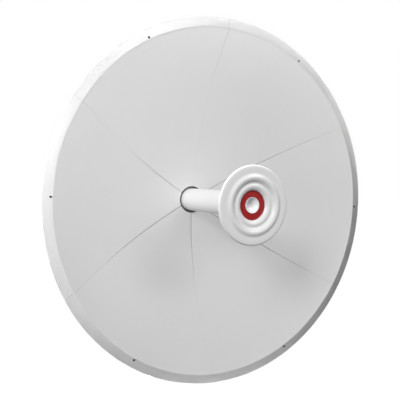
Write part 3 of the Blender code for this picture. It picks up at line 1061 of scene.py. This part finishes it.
# Splash disc
# A moulded white disc with a rounded rim and two ridges round a funnel. It clips over the cone.
_, disc_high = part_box("splash_disc")
ring_low, ring_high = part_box("red_ring")
disc_trim = 0.0004
disc_r = disc_high[0] - disc_trim
disc_z = 0.212
disc_edge = 0.003
disc_rim_back = 0.0015
disc_steps = 60
crown_steps = 12
disc_web = 0.003
ring_outer_r = ring_high[0]
ring_face = vertex_y - ring_low[1]
ring_thick = ring_high[1] - ring_low[1]
ring_sink = disc_z - ring_face
disc_floor = ring_face - ring_thick - gap
disc_back = disc_floor - disc_web
band_rise = 0.0065
band_span = 0.5
ridge_1_at = 0.667
ridge_1_rise = 0.0037
ridge_2_at = 0.445
ridge_2_rise = 0.0039
ridge_width = 0.087
ridge_roundness = 2.6


def disc_height(radius):
    """Height of the disc's face over disc_z: a dished band, two ridges and a funnel."""
    share = radius / disc_r
    outward = min(1, (share - ring_outer_r / disc_r) / band_span)
    floor = band_rise * math.sin(outward * math.pi / 2) - ring_sink
    ridge_1 = ridge_1_rise * math.exp(-(abs((share - ridge_1_at) / ridge_width) ** ridge_roundness))
    ridge_2 = ridge_2_rise * math.exp(-(abs((share - ridge_2_at) / ridge_width) ** ridge_roundness))
    return floor + ridge_1 + ridge_2


def rippled_disc():
    recess = ring_outer_r + gap
    crown_r = disc_r - disc_edge
    crown_centre = (crown_r, disc_z - disc_rim_back)
    crown = arc(crown_centre, disc_edge, math.pi / 2, -math.pi / 2, crown_steps)
    face = []
    for i in range(disc_steps + 1):
        radius = recess + (crown_r - disc_edge - recess) * i / disc_steps
        face.append((radius, disc_z + disc_height(radius)))
    back = [(cone_r, disc_back), (cap_bore, disc_back), (cap_bore, disc_floor), (recess, disc_floor)]
    outline = crown + back + face
    return spun(outline + outline[:1], steps=180)


piece(rippled_disc(), "splash_disc_moulding", white_plastic, "disc_white", "splash_disc", place=dish)

# Red ring
# A flat plastic ring, coloured through, pressed into the disc's recess. Its outer front edge is
# rounded a little.
ring_edge = 0.0003


def flat_ring():
    back = ring_face - ring_thick
    profile = [(cap_bore, back), (ring_outer_r, back), (ring_outer_r, ring_face), (cap_bore, ring_face)]
    profile = rounded(profile, 2, ring_edge)
    return spun(profile + profile[:1])


def coloured_plastic():
    look, tree, shader = principled("red_plastic", (0.37, 0.0135, 0.0155), 0.45)
    toned(tree, shader, noise(tree, 60, 3), (0.35, 0.0125, 0.0145), (0.39, 0.0145, 0.017))
    spread(tree, noise(tree, 300, 3), shader.inputs["Roughness"], 0.4, 0.5)
    bumped(tree, shader, noise(tree, 2000, 2), 0.05, 0.0001)
    return look


piece(flat_ring(), "red_ring_flat", coloured_plastic(), "ring_red", "red_ring", place=dish)

# Centre cap
# A white moulded cap, hollowed like a cup. It is pressed through the ring's bore into the well of
# the cone.
cap_brim = 0.0006
cap_steps = 24


def hollow_cap():
    outer = cap_high[0]
    face = vertex_y - cap_low[1]
    mouth = outer - cap_brim
    ball_r = (mouth**2 + cap_hollow**2) / (2 * cap_hollow)
    hollow = []
    for i in range(cap_steps + 1):
        turn = math.asin(mouth / ball_r) * i / cap_steps
        hollow.append((ball_r * math.sin(turn), face - cap_hollow + ball_r * (1 - math.cos(turn))))
    return spun([*hollow, (outer, face), (outer, cap_back), (0, cap_back)])


piece(hollow_cap(), "centre_cap_moulding", white_plastic, "cap_white", "centre_cap", place=dish)

# Floor
# A plain pale floor, 1.2 m below the dish's axis. It glows evenly, shows to the camera alone and
# takes no light away.
floor_size = 40
floor_z = -1.2
floor_bm = bmesh.new()
bmesh.ops.create_grid(floor_bm, x_segments=1, y_segments=1, size=floor_size)
floor_mesh = bpy.data.meshes.new("floor")
floor_bm.to_mesh(floor_mesh)
floor_bm.free()
floor_mesh.transform(Matrix.Translation((0, 0, floor_z)))
floor = bpy.data.objects.new("floor", floor_mesh)
bpy.context.scene.collection.objects.link(floor)
floor_look, _, floor_shader = principled("pale_floor", (0.9, 0.9, 0.9), 0.8)
floor_shader.inputs["Emission Color"].default_value = (1, 1, 1, 1)
floor_shader.inputs["Emission Strength"].default_value = 1
floor_mesh.materials.append(floor_look)
floor.visible_diffuse = False
floor.visible_glossy = False
floor.visible_transmission = False
floor.visible_shadow = False
floor.visible_volume_scatter = False

# Light
# A white studio with a faint even fill and soft lamps far away. The feed has lamps of its own, which
# model its ripples and are kept off the reflector and everything behind it.
even_fill = 0.1

# Each lamp has an azimuth from the dish's front towards +x, a height and a width, in degrees, and a
# strength. The first three throw the feed's soft shadows into the bowl, and the others light the
# rim's edge and the back.
key_lamps = (
    (-57, 26, 20, 0.7),
    (18, 32, 20, 0.25),
    (-12, 12, 20, 0.2),
    (-105, 0, 55, 0.8),
    (-150, 35, 55, 0.8),
    (150, 35, 55, 0.8),
)

# This one lights the petals alone, so that the yokes keep their grey
rim_lamps = ((-105, 0, 55, 3.2),)

# These throw no shadow of the feed
even_lamps = (
    (75, -65, 55, 2.5),
    (0, 0, 55, 0.6),
    (50, 35, 30, 0.3),
    (70, 15, 20, 0.2),
    (35, -10, 25, 0.1),
)
feed_lamps = (
    (-55, 22, 25, 2.5),
    (-110, 30, 25, 1.4),
    (43, 38, 20, 1.3),
    (180, 75, 25, 3.5),
)
world = bpy.data.worlds.new("studio")
bpy.context.scene.world = world
world.use_nodes = True
backdrop = world.node_tree.nodes["Background"]
backdrop.inputs["Color"].default_value = (1, 1, 1, 1)
seen = world.node_tree.nodes.new("ShaderNodeLightPath")
spread(world.node_tree, seen.outputs["Is Camera Ray"], backdrop.inputs["Strength"], even_fill, 1, 0, 1)
feed_group = bpy.data.collections.new("lit_by_feed_lamps")
reflector_group = bpy.data.collections.new("lit_by_reflector_lamps")
petal_group = bpy.data.collections.new("lit_by_rim_lamps")
feed_names = (
    "feed_tube_sleeve", "feed_cone_flare", "splash_disc_moulding", "red_ring_flat", "centre_cap_moulding",
)
for made in bpy.context.scene.objects:
    if made.type == "MESH" and made is not floor:
        group = feed_group if made.name in feed_names else reflector_group
        group.objects.link(made)
        if made.name.endswith("_painted"):
            petal_group.objects.link(made)
for lamps, lit, shading in (
    (key_lamps, reflector_group, None),
    (rim_lamps, petal_group, None),
    (even_lamps, reflector_group, reflector_group),
    (feed_lamps, feed_group, None),
):
    for azimuth, height, width, strength in lamps:
        data = bpy.data.lights.new("soft_lamp", "SUN")
        data.energy = strength
        data.angle = math.radians(width)
        # Lamps with blockers of their own came out too dark with multiple importance sampling
        data.cycles.use_multiple_importance_sampling = shading is None
        lamp = bpy.data.objects.new("soft_lamp", data)
        bpy.context.scene.collection.objects.link(lamp)
        around = Matrix.Rotation(math.radians(azimuth), 4, "Z")
        raised = Matrix.Rotation(math.radians(90 - height), 4, "X")
        lamp.matrix_world = around @ raised
        lamp.light_linking.receiver_collection = lit
        lamp.light_linking.blocker_collection = shading
bpy.context.scene.view_settings.view_transform = "Standard"

# Camera
# It stands to the left in front of the dish, nearly level with it, and leans a little. Its place,
# aim and lens were fitted to the outlines in the photograph.
camera_at = Vector((-0.65604, -1.32738, 0.03589))
aim = Vector((-0.04365, -0.25884, 0.00279))
camera_lean = math.radians(2.787)
camera_lens = 63.414
camera = bpy.data.objects.new("camera", bpy.data.cameras.new("camera"))
bpy.context.scene.collection.objects.link(camera)
camera.data.lens = camera_lens
camera.data.sensor_width = 36
camera.location = camera_at
look_along = (aim - camera.location).to_track_quat("-Z", "Y").to_matrix().to_4x4()
camera.rotation_euler = (look_along @ Matrix.Rotation(camera_lean, 4, "Z")).to_euler()
bpy.context.scene.camera = camera
